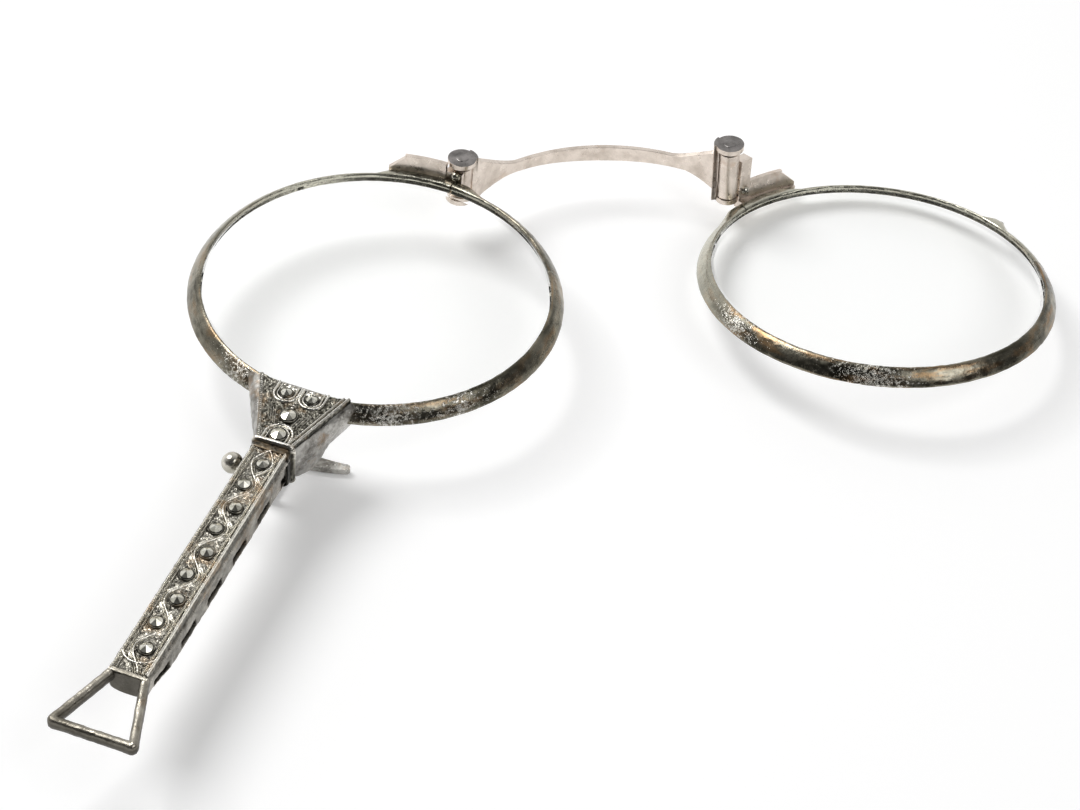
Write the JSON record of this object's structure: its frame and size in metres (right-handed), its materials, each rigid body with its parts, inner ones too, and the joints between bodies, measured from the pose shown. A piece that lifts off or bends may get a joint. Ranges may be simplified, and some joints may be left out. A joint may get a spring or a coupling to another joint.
{
  "type": "folding lorgnette",
  "caption": "Folding lorgnette in darkened silver: round lenses joined by a hinged arched bridge, on a stone-set handle with a rocking catch and a ribbon loop.",
  "frame": {"origin": "under the middle of the footprint, at the height of the lowest point, with the lenses open", "axes": "+X from the left lens to the right lens, +Y toward the bridge, +Z out of the left lens, up when the lorgnette lies open on a table"},
  "size_m": [0.1232, 0.091, 0.0121],
  "materials": {
    "rim_metal": "darkened silver, satin",
    "bridge_metal": "warm silver, polished and worn",
    "case_metal": "darkened silver",
    "plate_metal": "darkened silver with bright worn edges",
    "loop_metal": "silver, satin",
    "knob_metal": "bright silver",
    "pin_metal": "dark steel",
    "spring_steel": "spring steel",
    "lens_glass": "clear",
    "stone": "dark faceted stone with a metallic shine"
  },
  "bodies": {
    "handle": {"left_rim": "rim_metal", "left_lens": "lens_glass", "left_bracket": "bridge_metal", "left_rim_screw": "bridge_metal", "left_hinge_spring": "spring_steel", "head_case": "case_metal", "head_plate": "plate_metal", "collar": "plate_metal", "handle_case": "case_metal", "handle_plate": "plate_metal", "handle_border": "plate_metal", "end_wall": "loop_metal", "ribbon_loop": "loop_metal", "catch_pin": "pin_metal", "catch_spring": "spring_steel", "head_settings": "plate_metal", "handle_settings": "plate_metal", "head_stone_1": "stone", "head_stone_2": "stone", "head_stone_3": "stone", "head_stone_4": "stone", "handle_stone_1": "stone", "handle_stone_2": "stone", "handle_stone_3": "stone", "handle_stone_4": "stone", "handle_stone_5": "stone", "handle_stone_6": "stone", "handle_stone_7": "stone", "handle_stone_8": "stone", "handle_stone_9": "stone"},
    "bridge": {"bridge_strap": "bridge_metal", "left_fork": "bridge_metal", "right_fork": "bridge_metal", "left_hinge_pin": "pin_metal", "right_hinge_pin": "pin_metal", "right_hinge_spring": "spring_steel"},
    "right_lens_group": {"right_rim": "rim_metal", "right_lens": "lens_glass", "right_bracket": "bridge_metal", "right_rim_screw": "bridge_metal", "catch_lug": "rim_metal"},
    "catch": {"catch_lever": "loop_metal", "catch_knob": "knob_metal"}
  },
  "joints": [
    {"name": "bridge_swing", "type": "hinge", "parent": "handle", "child": "bridge", "pos_m": [-0.00844, 0.03892, 0.0088], "axis": [0, 0, 1], "range_deg": [-79.95, 0], "stiffness_Nm_per_rad": 0.003, "springref_deg": 34.38},
    {"name": "lens_swing", "type": "hinge", "parent": "bridge", "child": "right_lens_group", "pos_m": [0.02556, 0.03852, 0.0073], "axis": [-0.0698, 0.0349, 0.997], "range_deg": [-84.6, 0], "stiffness_Nm_per_rad": 0.003, "springref_deg": 34.38},
    {"name": "catch_rock", "type": "hinge", "parent": "handle", "child": "catch", "pos_m": [-0.03641, -0.00654, 0.0082], "axis": [0.503, 0.8643, 0], "range_deg": [0, 8], "stiffness_Nm_per_rad": 0.004, "springref_deg": -14.32}
  ],
  "couplings": [
    {"joint": "lens_swing", "follows": "bridge_swing", "ratio": 1.0569}
  ]
}
